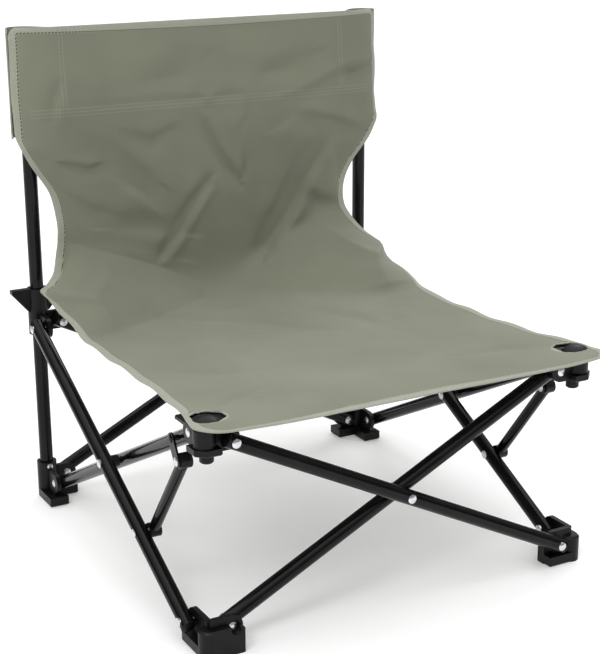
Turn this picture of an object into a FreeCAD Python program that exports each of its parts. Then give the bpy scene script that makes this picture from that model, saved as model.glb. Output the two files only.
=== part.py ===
"""Low folding camp chair: four scissor frames, corner hubs, sliding rear corners and a canvas sling.

Millimetres, +Z up, the chair faces -Y.  "left" is the -X side.
The origin is on the floor, under the middle of the chair's bounding box.
"""
import FreeCAD, Part
import math
import os

# ---- scissor frames ----
PIVOT_SPAN = 445.0      # level distance between the two pivots at one height
FOOT_PIVOT_Z = 30.0
HUB_PIVOT_Z = 252.0
SIDE_PLANE_X = 250.0    # plane of the side lugs, and the axis of the rear posts
END_PLANE_Y = 257.0     # plane of the front and rear lugs, before centring
LUG_THICKNESS = 6.0
LUG_RADIUS = 13.0
RUN_GAP = 0.3           # gap between faces that turn past each other
FIT = 0.02              # gap under a head that sits on a curved face

# ---- tubes ----
TUBE_DIA = 18.0
TUBE_WALL = 1.5
TUBE_END = 8.5          # tube beyond its end pivot
PLUG_RIM = 0.8          # straight edge of a plug's domed flange
PLUG_FLANGE = 2.5
PLUG_DEPTH = 5.5
PLUG_CLEARANCE = 0.05

# ---- rivets ----
RIVET_DIA = 5.0
RIVET_HOLE_DIA = 5.1
HEAD_RADIUS = 5.3
HEAD_DOME = 1.9
HEAD_RIM = 0.4
HEAD_GAP = 0.1
SADDLE_DEPTH = 0.5      # extra head depth that the tube's shape trims away
SPACER_RADIUS = 7.5

# ---- rear posts ----
POST_TOP_Z = 632.0
POST_SOCKET_Z = 8.0
POST_CLEARANCE = 0.1
POST_RIVET_Z = 47.0
POST_RIVET_RADIUS = 4.0
POST_CAP_RIM = 1.0
POST_CAP_DOME = 3.0
POST_CAP_STEM = 12.0

# ---- plastic corners ----
BARREL_RADIUS = 12.5
POST_BARREL_RADIUS = 13.2
FOOT_TOP_Z = 43.0
POST_FOOT_TOP_Z = 52.0
SHOE_HEIGHT = 33.0      # walls of a front foot
SHOE_EASE = 2.5
HEAD_POCKET = 0.7       # room round a rivet head that is sunk in a shoe's wall
PAD_HEIGHT = 13.0
PAD_EDGE = 2.0
PAD_OVERLAP = 11.0      # sole beyond a lug's pivot
HUB_BOTTOM_Z = 239.0
HUB_TOP_Z = 272.0
HUB_WEB_Z = 267.0
HUB_FLANGE_HALF = 15.0
HUB_FLANGE_HEIGHT = 8.0
HUB_WEB_HALF = 14.0
HUB_WEB_OVERLAP = 9.0   # web beyond a lug's pivot
HUB_WEB_INNER = 3.0
HUB_BEVEL = 10.0        # cut across the hub's outer corner
HUB_EASE = 1.5
HUB_BOSS_RADIUS = 8.0
HUB_BOSS_LENGTH = 12.0
HUB_BOSS_INSET = 4.0
CAP_RADIUS = 17.0
CAP_RIM = 1.5
CAP_DOME = 7.5
CAP_INSET = 2.0         # the cap stands this far inboard of the hub's barrel
SLIDER_BOTTOM_Z = 236.0
SLIDER_TOP_Z = 299.0
SLIDER_CLEARANCE = 0.4
WING_REACH = 36.0
WING_THICKNESS = 10.0
WING_LIP = 5.0          # height of the wing's outer edge
WING_NECK_HALF = 14.0
WING_NECK_DROP = 31.0
WING_RIB = 1.2
WING_RIB_HEIGHT = 3.0
WING_RIB_EDGE = 1.5
WING_RIB_STEPS = (0.0, 7.5, 15.0)

# ---- braces ----
BRACE_DIA = 14.0
BRACE_PLANE = 4.0       # from the side lugs' plane, towards +X on both sides
BRACE_FOOT_ALONG = 133.9    # from the front foot's pivot, along the tube that carries the brace
BRACE_TOP_INSET = 27.5      # brace's top pin behind the hub's side pivot
BRACE_TOP_DROP = 43.0       # and below it
BRACE_EYE_RADIUS = 9.0
BRACE_PIN_DIA = 6.0
PIN_CLEARANCE = 0.05
LATCH_THICKNESS = 2.5
LATCH_WIDTH = 14.0
LATCH_SLOT = 6.8
LATCH_MOUTH = 7.0       # how much the slot widens at its open end
LATCH_MOUTH_DROP = 22.0
LATCH_HANG = 46.0       # the plate's bolt, along the inner tube from the hub's pivot
LATCH_BOLT_RADIUS = 3.5
LATCH_BOLT_SINK = 3.0

# ---- canvas stand-ins ----
CLOTH = 3.0
BACK_TOP_Z = 640.0
SLEEVE_BOTTOM_Z = 494.0
SLEEVE_RADIUS = 12.5
SLEEVE_TOP_GAP = 5.0    # bore above the post's top
WAIST_Z = 386.0
WAIST_HALF = 208.0
BACK_BOTTOM_Z = 300.0
BACK_BOTTOM_HALF = 222.0
BACK_SETBACK = 13.5     # front face of the back panel, in front of the post axis
SEAT_BOTTOM_Z = 273.0
SEAT_SIDE_HALF = 249.0
SEAT_FRONT_HALF = 266.0
SEAT_FRONT_REACH = 43.0     # canvas in front of the front lugs
SEAT_CORNER_RADIUS = 28.0
SEAT_REAR_SETBACK = 39.0    # crease between seat and back, in front of the post axis
SEAT_SPLIT = 85.5           # length of the rear seat panel
SEAT_NOSE_REACH = 30.0      # the nose panel lies on the hubs and ends this far behind the front lugs
CORNER_HOLE_RADIUS = 20.0

# ---- worked out ----
PIVOT_RISE = HUB_PIVOT_Z - FOOT_PIVOT_Z
TUBE_LENGTH = math.hypot(PIVOT_SPAN, PIVOT_RISE)
SLOPE = math.degrees(math.atan2(PIVOT_RISE, PIVOT_SPAN))
CROSSING_Z = (HUB_PIVOT_Z + FOOT_PIVOT_Z) / 2
TUBE_RADIUS = TUBE_DIA / 2
TUBE_OFFSET = LUG_THICKNESS / 2 + RUN_GAP + TUBE_RADIUS
INSET_X = SIDE_PLANE_X - PIVOT_SPAN / 2
INSET_Y = END_PLANE_Y - PIVOT_SPAN / 2
X_AXIS = FreeCAD.Vector(1, 0, 0)
Y_AXIS = FreeCAD.Vector(0, 1, 0)
Z_AXIS = FreeCAD.Vector(0, 0, 1)
ORIGIN = FreeCAD.Vector(0, 0, 0)


def vec(x, y, z):
    return FreeCAD.Vector(x, y, z)


def box(low, high):
    """Box between two opposite corners."""
    return Part.makeBox(high[0] - low[0], high[1] - low[1], high[2] - low[2], vec(*low))


def rod(radius, start, end):
    """Solid cylinder between two points."""
    line = vec(*end) - vec(*start)
    return Part.makeCylinder(radius, line.Length, vec(*start), line)


def prism(points, direction):
    """Polygon of 3-D points pushed along a direction."""
    wire = Part.makePolygon([vec(*p) for p in points + points[:1]])
    return Part.Face(wire).extrude(vec(*direction))


def dome(radius, skirt, rise, base, direction):
    """Round head: a short cylinder of height skirt under a spherical cap of height rise."""
    bulge = (radius * radius + rise * rise) / (2 * rise)
    middle = bulge * math.sin(math.asin(radius / bulge) / 2)
    middle_z = skirt + rise - bulge + math.sqrt(bulge * bulge - middle * middle)
    top = vec(0, 0, skirt + rise)
    rim = vec(radius, 0, skirt)
    edges = [Part.makeLine(ORIGIN, vec(radius, 0, 0))]
    if skirt > 0:
        edges.append(Part.makeLine(vec(radius, 0, 0), rim))
    edges.append(Part.Arc(rim, vec(middle, 0, middle_z), top).toShape())
    edges.append(Part.makeLine(top, ORIGIN))
    solid = Part.Face(Part.Wire(edges)).revolve(ORIGIN, Z_AXIS, 360)
    solid.Placement = FreeCAD.Placement(vec(*base), FreeCAD.Rotation(Z_AXIS, vec(*direction)))
    return solid


def ease(shape, height, size):
    """Chamfer the edges that lie level at one height."""
    edges = []
    for edge in shape.Edges:
        limits = edge.BoundBox
        if abs(limits.ZMin - height) < 1e-6 and abs(limits.ZMax - height) < 1e-6:
            edges.append(edge)
    return shape.makeChamfer(size, edges)


# ---- one scissor, seen from outside: local X to the right, local Y into the chair ----

def tilted(shape, side):
    """Tilt a shape made along local X to its tube's slope and put it in its tube's plane."""
    turned = shape.copy()
    turned.rotate(ORIGIN, Y_AXIS, -side * SLOPE)
    turned.translate(vec(0, side * TUBE_OFFSET, CROSSING_Z))
    return turned


def bare_tube(side, carries_brace):
    """Round tube with three rivet holes; side is -1 for the outer tube and 1 for the inner."""
    reach = TUBE_LENGTH / 2 + TUBE_END
    shape = rod(TUBE_RADIUS, (-reach, 0, 0), (reach, 0, 0))
    shape = shape.cut(rod(TUBE_RADIUS - TUBE_WALL, (-reach, 0, 0), (reach, 0, 0)))
    for x in (-TUBE_LENGTH / 2, 0.0, TUBE_LENGTH / 2):
        shape = shape.cut(rod(RIVET_HOLE_DIA / 2, (x, -TUBE_DIA, 0), (x, TUBE_DIA, 0)))
    if carries_brace:
        x = -side * (TUBE_LENGTH / 2 - BRACE_FOOT_ALONG)
        shape = shape.cut(rod(BRACE_PIN_DIA / 2 + PIN_CLEARANCE, (x, -TUBE_DIA, 0), (x, TUBE_DIA, 0)))
    return tilted(shape, side)


def end_plugs(side):
    """Moulded plugs that close both ends of a tube."""
    reach = TUBE_LENGTH / 2 + TUBE_END
    plugs = []
    for end in (-1, 1):
        start = end * reach
        flange = dome(TUBE_RADIUS, PLUG_RIM, PLUG_FLANGE - PLUG_RIM, (start, 0, 0), (end, 0, 0))
        bore = TUBE_RADIUS - TUBE_WALL - PLUG_CLEARANCE
        stem = rod(bore, (start, 0, 0), (start - end * PLUG_DEPTH, 0, 0))
        plugs.append(tilted(flange.fuse(stem), side))
    return Part.makeCompound(plugs)


def rivet(side, x, tail_y):
    """Rivet across a tube: a saddle head hugs the tube and a flat tail head ends at tail_y."""
    crest = side * (TUBE_OFFSET + TUBE_RADIUS)
    sunk = TUBE_RADIUS - math.sqrt(TUBE_RADIUS ** 2 - HEAD_RADIUS ** 2) + SADDLE_DEPTH
    rise = HEAD_DOME - HEAD_RIM
    head = dome(HEAD_RADIUS, sunk + HEAD_RIM, rise, (x, crest - side * sunk, 0), (0, side, 0))
    shank = rod(RIVET_DIA / 2, (x, crest + side * HEAD_RIM, 0), (x, tail_y, 0))
    tail = dome(HEAD_RADIUS, HEAD_RIM, rise, (x, tail_y, 0), (0, -side, 0))
    return head, shank, tail


def rivets(side):
    """The rivets that turn with one tube: two end pivots and, on the outer tube, the crossing."""
    lug_face = -side * (LUG_THICKNESS / 2 + HEAD_GAP)
    tube_face = -side * (TUBE_OFFSET + TUBE_RADIUS + HEAD_GAP)
    places = [(-TUBE_LENGTH / 2, lug_face), (TUBE_LENGTH / 2, lug_face)]
    if side < 0:
        places.append((0.0, tube_face))
    solids = []
    for along, tail_y in places:
        x = along * math.cos(math.radians(SLOPE))
        z = CROSSING_Z + side * along * math.sin(math.radians(SLOPE))
        head, shank, tail = rivet(side, x, tail_y)
        for piece in (head, shank, tail):
            piece.translate(vec(0, 0, z))
        skin = tilted(rod(TUBE_RADIUS + FIT, (-TUBE_LENGTH, 0, 0), (TUBE_LENGTH, 0, 0)), side)
        solids.append(head.cut(skin).fuse(shank).fuse(tail))
    return Part.makeCompound(solids)


def crossing_spacer():
    """Plastic washer between the two tubes, shaped to the outer one."""
    inner_face = TUBE_OFFSET - TUBE_RADIUS - RUN_GAP
    ring = rod(SPACER_RADIUS, (0, -TUBE_OFFSET, CROSSING_Z), (0, inner_face, CROSSING_Z))
    ring = ring.cut(rod(RIVET_HOLE_DIA / 2, (0, -TUBE_DIA, CROSSING_Z), (0, TUBE_DIA, CROSSING_Z)))
    reach = TUBE_LENGTH / 2
    return ring.cut(tilted(rod(TUBE_RADIUS + FIT, (-reach, 0, 0), (reach, 0, 0)), -1))


def scissor(nodes, outer, inner, turn, place):
    """Add one scissor's pieces, turned about Z and moved to its side of the chair."""
    made = {
        "tube_" + outer: bare_tube(-1, outer == "left_a"),
        "plugs_" + outer: end_plugs(-1),
        "rivets_" + outer: rivets(-1),
        "spacer_" + outer[:-2]: crossing_spacer(),
        "tube_" + inner: bare_tube(1, inner == "right_a"),
        "plugs_" + inner: end_plugs(1),
        "rivets_" + inner: rivets(1),
    }
    for name, shape in made.items():
        shape.rotate(ORIGIN, Z_AXIS, turn)
        shape.translate(vec(*place))
        nodes[name] = shape


# ---- corner mouldings, made for the front left corner: local X and Y run inboard from the corner ----

def lug(inset, low, high, pivot_z):
    """Plate in the local XZ plane with a round end about its pivot hole."""
    half = LUG_THICKNESS / 2
    plate = box((0, -half, low), (inset, half, high))
    plate = plate.fuse(rod(LUG_RADIUS, (inset, -half, pivot_z), (inset, half, pivot_z)))
    return plate.cut(rod(RIVET_HOLE_DIA / 2, (inset, -LUG_RADIUS, pivot_z), (inset, LUG_RADIUS, pivot_z)))


def both_lugs(low, high, pivot_z):
    """The end lug along X and the side lug along Y."""
    end_lug = lug(INSET_X, low, high, pivot_z)
    side_lug = lug(INSET_Y, low, high, pivot_z)
    side_lug.rotate(ORIGIN, Z_AXIS, 90)
    return end_lug.fuse(side_lug)


def corner_pad(radius):
    """Rounded L-shaped sole under both lugs."""
    arms = rod(radius, (0, 0, 0), (0, 0, PAD_HEIGHT))
    arms = arms.fuse(box((0, -radius, 0), (INSET_X + PAD_OVERLAP, radius, PAD_HEIGHT)))
    arms = arms.fuse(box((-radius, 0, 0), (radius, INSET_Y + PAD_OVERLAP, PAD_HEIGHT)))
    return ease(arms.removeSplitter(), 0.0, PAD_EDGE)


def shoe_wall(length, inset, free_side):
    """Thick wall along local X, on the side of the lug that has no tube, with a pocket for the
    rivet's head."""
    low = min(0.0, free_side * BARREL_RADIUS)
    wall = box((0, low, 0), (length, low + BARREL_RADIUS, SHOE_HEIGHT))
    start = (inset, free_side * LUG_THICKNESS / 2, FOOT_PIVOT_Z)
    end = (inset, free_side * (BARREL_RADIUS + 1), FOOT_PIVOT_Z)
    hole = rod(RIVET_HOLE_DIA / 2, (inset, 0, FOOT_PIVOT_Z), end)
    return wall, rod(HEAD_RADIUS + HEAD_POCKET, start, end).fuse(hole)


def front_foot(hand):
    """Shoe with a round outer corner: each tube passes one side of its lug and a wall stands on
    the other.  The left foot's end tube is inside, the right foot's is outside."""
    end_wall, end_pocket = shoe_wall(INSET_X + PAD_OVERLAP, INSET_X, hand)
    side_wall, side_pocket = shoe_wall(INSET_Y + PAD_OVERLAP, INSET_Y, hand)
    for shape in (side_wall, side_pocket):
        shape.rotate(ORIGIN, Z_AXIS, 90)
    body = rod(BARREL_RADIUS, (0, 0, 0), (0, 0, SHOE_HEIGHT)).fuse(end_wall).fuse(side_wall)
    body = ease(body.removeSplitter(), SHOE_HEIGHT, SHOE_EASE)
    body = body.fuse(corner_pad(BARREL_RADIUS))
    body = body.fuse(both_lugs(PAD_EDGE, FOOT_TOP_Z, FOOT_PIVOT_Z))
    return body.removeSplitter().cut(end_pocket).cut(side_pocket)


def rear_foot():
    """Foot with a socket for the post."""
    body = corner_pad(POST_BARREL_RADIUS)
    body = body.fuse(rod(POST_BARREL_RADIUS, (0, 0, PAD_EDGE), (0, 0, POST_FOOT_TOP_Z)))
    body = body.fuse(both_lugs(PAD_EDGE, FOOT_TOP_Z, FOOT_PIVOT_Z)).removeSplitter()
    socket = rod(TUBE_RADIUS + POST_CLEARANCE, (0, 0, POST_SOCKET_Z), (0, 0, POST_TOP_Z))
    cross = rod(RIVET_HOLE_DIA / 2, (0, -TUBE_DIA, POST_RIVET_Z), (0, TUBE_DIA, POST_RIVET_Z))
    return body.cut(socket).cut(cross)


def bevelled_corner(half, far_x, far_y, low, high):
    """L-shaped or square plate with its outer corner cut across."""
    cut = half - HUB_BEVEL
    outline = [(-half, -cut), (-cut, -half), (far_x, -half)]
    if far_x > half:
        outline += [(far_x, HUB_WEB_INNER), (HUB_WEB_INNER, far_y), (-half, far_y)]
    else:
        outline += [(far_x, far_y), (-half, far_y)]
    return prism([(x, y, low) for x, y in outline], (0, 0, high - low))


def front_hub():
    """Moulded hub with a barrel, a lower flange, a top web and a round boss below."""
    boss_z = HUB_BOTTOM_Z - HUB_BOSS_LENGTH
    flange_top = HUB_BOTTOM_Z + HUB_FLANGE_HEIGHT
    flange = bevelled_corner(HUB_FLANGE_HALF, HUB_WEB_HALF, HUB_WEB_HALF, HUB_BOTTOM_Z, flange_top)
    body = ease(flange, HUB_BOTTOM_Z, HUB_EASE)
    far_x = INSET_X + HUB_WEB_OVERLAP
    far_y = INSET_Y + HUB_WEB_OVERLAP
    web = bevelled_corner(HUB_WEB_HALF, far_x, far_y, HUB_WEB_Z, HUB_TOP_Z)
    body = body.fuse(ease(web, HUB_TOP_Z, HUB_EASE))
    middle_z = (HUB_WEB_Z + HUB_TOP_Z) / 2
    body = body.fuse(rod(BARREL_RADIUS, (0, 0, HUB_BOTTOM_Z + HUB_EASE), (0, 0, middle_z)))
    boss_at = (HUB_BOSS_INSET, HUB_BOSS_INSET)
    boss = rod(HUB_BOSS_RADIUS, (*boss_at, boss_z), (*boss_at, HUB_BOTTOM_Z + HUB_EASE))
    body = body.fuse(ease(boss, boss_z, HUB_EASE))
    return body.fuse(both_lugs(HUB_PIVOT_Z - LUG_RADIUS, middle_z, HUB_PIVOT_Z)).removeSplitter()


def hub_cap():
    """Domed cap on the hub, standing in the canvas's corner hole."""
    return dome(CAP_RADIUS, CAP_RIM, CAP_DOME, (CAP_INSET, CAP_INSET, HUB_TOP_Z + HEAD_GAP), (0, 0, 1))


def wing_rib(hand, step):
    """Raised rib that runs down one side of the wing, proud on both faces."""
    half = WING_THICKNESS / 2 + WING_RIB
    neck_z = SLIDER_TOP_Z - WING_NECK_DROP
    top = hand * (WING_REACH - WING_RIB_EDGE - step)
    top_z = SLIDER_TOP_Z - WING_RIB_HEIGHT
    low = hand * (WING_NECK_HALF + 1 - step / 2)
    low_z = neck_z + WING_LIP + step * 0.6
    rib = [(top, -half, top_z), (top, -half, top_z - WING_RIB_HEIGHT),
           (low, -half, low_z - WING_RIB_HEIGHT), (low, -half, low_z)]
    return prism(rib, (0, 2 * half, 0))


def slider():
    """Rear corner that slides on the post, with a ribbed finger wing at the top."""
    body = rod(POST_BARREL_RADIUS, (0, 0, SLIDER_BOTTOM_Z), (0, 0, SLIDER_TOP_Z))
    half = WING_THICKNESS / 2
    neck_z = SLIDER_TOP_Z - WING_NECK_DROP
    right = [(WING_NECK_HALF, neck_z), (WING_REACH, SLIDER_TOP_Z - WING_LIP), (WING_REACH, SLIDER_TOP_Z)]
    outline = right + [(-x, z) for x, z in reversed(right)]
    body = body.fuse(prism([(x, -half, z) for x, z in outline], (0, WING_THICKNESS, 0)))
    for hand in (-1, 1):
        for step in WING_RIB_STEPS:
            body = body.fuse(wing_rib(hand, step))
    body = body.fuse(both_lugs(HUB_PIVOT_Z - LUG_RADIUS, HUB_PIVOT_Z + LUG_RADIUS, HUB_PIVOT_Z))
    bore = rod(TUBE_RADIUS + SLIDER_CLEARANCE, (0, 0, 0), (0, 0, POST_TOP_Z))
    return body.removeSplitter().cut(bore)


def post():
    """Upright rear tube."""
    shape = rod(TUBE_RADIUS, (0, 0, POST_SOCKET_Z), (0, 0, POST_TOP_Z))
    shape = shape.cut(rod(TUBE_RADIUS - TUBE_WALL, (0, 0, 0), (0, 0, POST_TOP_Z)))
    return shape.cut(rod(RIVET_HOLE_DIA / 2, (0, -TUBE_DIA, POST_RIVET_Z), (0, TUBE_DIA, POST_RIVET_Z)))


def post_cap():
    """Domed plug in the top of a post."""
    bore = TUBE_RADIUS - TUBE_WALL - PLUG_CLEARANCE
    stem = rod(bore, (0, 0, POST_TOP_Z - POST_CAP_STEM), (0, 0, POST_TOP_Z))
    return dome(TUBE_RADIUS, POST_CAP_RIM, POST_CAP_DOME, (0, 0, POST_TOP_Z), (0, 0, 1)).fuse(stem)


def post_rivet():
    """Rivet that holds a post in its foot."""
    face = POST_BARREL_RADIUS - HEAD_RIM
    reach = POST_BARREL_RADIUS + HEAD_RIM
    shank = rod(RIVET_DIA / 2, (0, -reach, POST_RIVET_Z), (0, reach, POST_RIVET_Z))
    barrel = rod(POST_BARREL_RADIUS + FIT, (0, 0, 0), (0, 0, POST_FOOT_TOP_Z))
    for side in (-1, 1):
        base = (0, side * face, POST_RIVET_Z)
        head = dome(POST_RIVET_RADIUS, 2 * HEAD_RIM, HEAD_DOME - 2 * HEAD_RIM, base, (0, side, 0))
        shank = shank.fuse(head.cut(barrel))
    return shank


def back_sleeve():
    """Canvas pocket around the top of a post."""
    outer = rod(SLEEVE_RADIUS, (0, 0, SLEEVE_BOTTOM_Z), (0, 0, BACK_TOP_Z))
    return outer.cut(rod(TUBE_RADIUS + SLIDER_CLEARANCE, (0, 0, 0), (0, 0, POST_TOP_Z + SLEEVE_TOP_GAP)))


# ---- braces: Y and Z are the chair's own, X is measured from the side lugs' plane towards +X ----

def brace_ends():
    """The brace's lower pin on its tube and its upper pin under the hub, as (y, z)."""
    slope = math.radians(SLOPE)
    foot_y = -END_PLANE_Y + INSET_Y
    low = (foot_y + BRACE_FOOT_ALONG * math.cos(slope), FOOT_PIVOT_Z + BRACE_FOOT_ALONG * math.sin(slope))
    top = (foot_y + BRACE_TOP_INSET, HUB_PIVOT_Z - BRACE_TOP_DROP)
    return low, top


def brace():
    """Short round strut from the side tube up to the hub."""
    low, top = brace_ends()
    length = math.hypot(top[0] - low[0], top[1] - low[1])
    inset = (BRACE_EYE_RADIUS - 1) / length
    start = [low[i] + (top[i] - low[i]) * inset for i in (0, 1)]
    end = [top[i] - (top[i] - low[i]) * inset for i in (0, 1)]
    return rod(BRACE_DIA / 2, (BRACE_PLANE, *start), (BRACE_PLANE, *end))


def brace_eyes():
    """Moulded round ends that close the brace and carry its pins."""
    half = BRACE_DIA / 2
    shaft = brace()
    eyes = []
    for y, z in brace_ends():
        eye = rod(BRACE_EYE_RADIUS, (BRACE_PLANE - half, y, z), (BRACE_PLANE + half, y, z))
        eye = eye.cut(shaft)
        eyes.append(eye.cut(rod(BRACE_PIN_DIA / 2 + PIN_CLEARANCE, (-BRACE_DIA, y, z), (BRACE_DIA, y, z))))
    return Part.makeCompound(eyes)


def brace_pins():
    """Lower pin through the side tube, and upper pin that the latch plate hooks."""
    inner = BRACE_PLANE + BRACE_DIA / 2 + HEAD_GAP
    tube_face = -TUBE_OFFSET - TUBE_RADIUS - HEAD_GAP
    latch_face = BRACE_PLANE - BRACE_DIA / 2 - RUN_GAP - LATCH_THICKNESS - RUN_GAP
    pins = []
    for (y, z), outer in zip(brace_ends(), (tube_face, latch_face)):
        pin = rod(BRACE_PIN_DIA / 2, (outer, y, z), (inner, y, z))
        pin = pin.fuse(dome(HEAD_RADIUS, HEAD_RIM, HEAD_DOME - HEAD_RIM, (outer, y, z), (-1, 0, 0)))
        pins.append(pin.fuse(dome(HEAD_RADIUS, HEAD_RIM, HEAD_DOME - HEAD_RIM, (inner, y, z), (1, 0, 0))))
    return Part.makeCompound(pins)


def latch_plate():
    """Steel hook that hangs from the inner side tube and holds the brace's upper pin from above."""
    pin = brace_ends()[1]
    outer = BRACE_PLANE - BRACE_DIA / 2 - RUN_GAP - LATCH_THICKNESS
    inner = outer + LATCH_THICKNESS
    hub_y = -END_PLANE_Y + INSET_Y
    slope = math.radians(SLOPE)
    bolt = (hub_y + LATCH_HANG * math.cos(slope), HUB_PIVOT_Z - LATCH_HANG * math.sin(slope))
    line = vec(0, pin[0] - bolt[0], pin[1] - bolt[1])
    length = line.Length
    plate = box((outer, -LATCH_WIDTH / 2, 0), (inner, LATCH_WIDTH / 2, length))
    plate = plate.fuse(rod(LATCH_WIDTH / 2, (outer, 0, 0), (inner, 0, 0)))
    plate = plate.fuse(rod(LATCH_WIDTH / 2, (outer, 0, length), (inner, 0, length)))
    plate.Placement = FreeCAD.Placement(vec(0, *bolt), FreeCAD.Rotation(Z_AXIS, line))
    slot_half = LATCH_SLOT / 2
    open_z = pin[1] - LATCH_MOUTH_DROP
    slot = [(pin[0] - slot_half, pin[1]), (pin[0] + slot_half, pin[1]),
            (pin[0] + slot_half + LATCH_MOUTH, open_z), (pin[0] - slot_half, open_z)]
    plate = plate.cut(prism([(outer - 1, y, z) for y, z in slot], (LATCH_THICKNESS + 2, 0, 0)))
    plate = plate.cut(rod(slot_half, (outer - 1, *pin), (inner + 1, *pin)))
    arm = rod(LATCH_BOLT_RADIUS, (inner, *bolt), (TUBE_OFFSET - TUBE_RADIUS + LATCH_BOLT_SINK, *bolt))
    head = dome(HEAD_RADIUS, HEAD_RIM, HEAD_DOME - HEAD_RIM, (outer, *bolt), (-1, 0, 0))
    tube_line = vec(0, math.cos(slope), -math.sin(slope))
    hub_pivot = vec(TUBE_OFFSET, hub_y, HUB_PIVOT_Z)
    skin = rod(TUBE_RADIUS + FIT, hub_pivot - tube_line * TUBE_END, hub_pivot + tube_line * TUBE_LENGTH)
    return plate.fuse(arm.cut(skin)).fuse(head)


# ---- canvas stand-ins, in the chair's own axes ----

def back_panel():
    """Back canvas between the posts: full width along the top band, narrow at the waist."""
    front = END_PLANE_Y - BACK_SETBACK
    band_half = SIDE_PLANE_X - SLEEVE_RADIUS - RUN_GAP
    right = [(band_half, BACK_TOP_Z), (band_half, SLEEVE_BOTTOM_Z), (WAIST_HALF, WAIST_Z),
             (BACK_BOTTOM_HALF, BACK_BOTTOM_Z)]
    outline = right + [(-x, z) for x, z in reversed(right)]
    return prism([(x, front, z) for x, z in outline], (0, CLOTH, 0))


def seat_split_y():
    """Where the rear and middle seat panels meet."""
    return END_PLANE_Y - SEAT_REAR_SETBACK - SEAT_SPLIT


def seat_rear():
    """Rear part of the seat canvas, from the crease forwards."""
    rear = END_PLANE_Y - SEAT_REAR_SETBACK
    low = (-SEAT_SIDE_HALF, seat_split_y() + RUN_GAP, SEAT_BOTTOM_Z)
    return box(low, (SEAT_SIDE_HALF, rear, SEAT_BOTTOM_Z + CLOTH))


def seat_half_at(y):
    """Half the seat's width: straight along the sides, then wider towards the front corners."""
    start = -END_PLANE_Y / 3
    end = -END_PLANE_Y - SEAT_FRONT_REACH + SEAT_CORNER_RADIUS
    share = min(max((y - start) / (end - start), 0.0), 1.0)
    return SEAT_SIDE_HALF + (SEAT_FRONT_HALF - SEAT_SIDE_HALF) * share


def seat_front():
    """Long middle part of the seat canvas."""
    front = -END_PLANE_Y + SEAT_NOSE_REACH
    wide = -END_PLANE_Y / 3
    nose = (seat_half_at(front), front + RUN_GAP)
    right = [(SEAT_SIDE_HALF, seat_split_y()), (SEAT_SIDE_HALF, wide), nose]
    outline = right + [(-x, y) for x, y in reversed(right)]
    return prism([(x, y, SEAT_BOTTOM_Z) for x, y in outline], (0, 0, CLOTH))


def seat_nose():
    """Front strip of the seat canvas, with a round corner and a cap hole over each hub."""
    front = -END_PLANE_Y - SEAT_FRONT_REACH
    rounding_y = front + SEAT_CORNER_RADIUS
    middle = SEAT_FRONT_HALF - SEAT_CORNER_RADIUS
    rear = -END_PLANE_Y + SEAT_NOSE_REACH
    right = [(seat_half_at(rear), rear), (SEAT_FRONT_HALF, rounding_y), (middle, rounding_y),
             (middle, front)]
    outline = right + [(-x, y) for x, y in reversed(right)]
    panel = prism([(x, y, SEAT_BOTTOM_Z) for x, y in outline], (0, 0, CLOTH))
    top = SEAT_BOTTOM_Z + CLOTH
    for x in (-1, 1):
        corner = (x * middle, rounding_y)
        panel = panel.fuse(rod(SEAT_CORNER_RADIUS, (*corner, SEAT_BOTTOM_Z), (*corner, top)))
    panel = panel.removeSplitter()
    for x in (-1, 1):
        hub = (x * (SIDE_PLANE_X - CAP_INSET), -END_PLANE_Y + CAP_INSET)
        panel = panel.cut(rod(CORNER_HOLE_RADIUS, (*hub, 0), (*hub, top)))
    return panel


# ---- the whole chair ----

def at_corner(shape, hand, end):
    """Mirror a front left corner piece to its corner; hand -1 is left, end -1 is the front."""
    moved = shape.copy()
    if hand > 0:
        moved = moved.mirror(ORIGIN, X_AXIS)
    if end > 0:
        moved = moved.mirror(ORIGIN, Y_AXIS)
    moved.translate(vec(hand * SIDE_PLANE_X, end * END_PLANE_Y, 0))
    return moved


def build():
    """Every node of the chair, by name, before centring."""
    nodes = {}
    scissor(nodes, "front_a", "front_b", 0, (0, -END_PLANE_Y, 0))
    scissor(nodes, "right_b", "right_a", 90, (SIDE_PLANE_X, 0, 0))
    scissor(nodes, "rear_a", "rear_b", 180, (0, END_PLANE_Y, 0))
    scissor(nodes, "left_a", "left_b", 270, (-SIDE_PLANE_X, 0, 0))
    for hand, side in ((-1, "left"), (1, "right")):
        nodes["foot_front_" + side] = at_corner(front_foot(hand), hand, -1)
        nodes["hub_front_" + side] = at_corner(front_hub(), hand, -1)
        nodes["hub_cap_" + side] = at_corner(hub_cap(), hand, -1)
        nodes["foot_rear_" + side] = at_corner(rear_foot(), hand, 1)
        nodes["post_" + side] = at_corner(post(), hand, 1)
        nodes["post_cap_" + side] = at_corner(post_cap(), hand, 1)
        nodes["post_rivet_" + side] = at_corner(post_rivet(), hand, 1)
        nodes["slider_" + side] = at_corner(slider(), hand, 1)
        nodes["back_sleeve_" + side] = at_corner(back_sleeve(), hand, 1)
        brace_set = {"brace_": brace(), "brace_eyes_": brace_eyes(), "brace_pins_": brace_pins(),
                     "latch_plate_": latch_plate()}
        for name, shape in brace_set.items():
            shape.translate(vec(hand * SIDE_PLANE_X, 0, 0))
            nodes[name + side] = shape
    nodes["back_panel"] = back_panel()
    nodes["seat_rear"] = seat_rear()
    nodes["seat_front"] = seat_front()
    nodes["seat_nose"] = seat_nose()
    return nodes


def centre(nodes):
    """Move the chair so that its bounding box stands on the origin, and return the move."""
    whole = Part.makeCompound(list(nodes.values())).BoundBox
    move = vec(-(whole.XMin + whole.XMax) / 2, -(whole.YMin + whole.YMax) / 2, -whole.ZMin)
    for shape in nodes.values():
        shape.translate(move)
    return move


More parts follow.
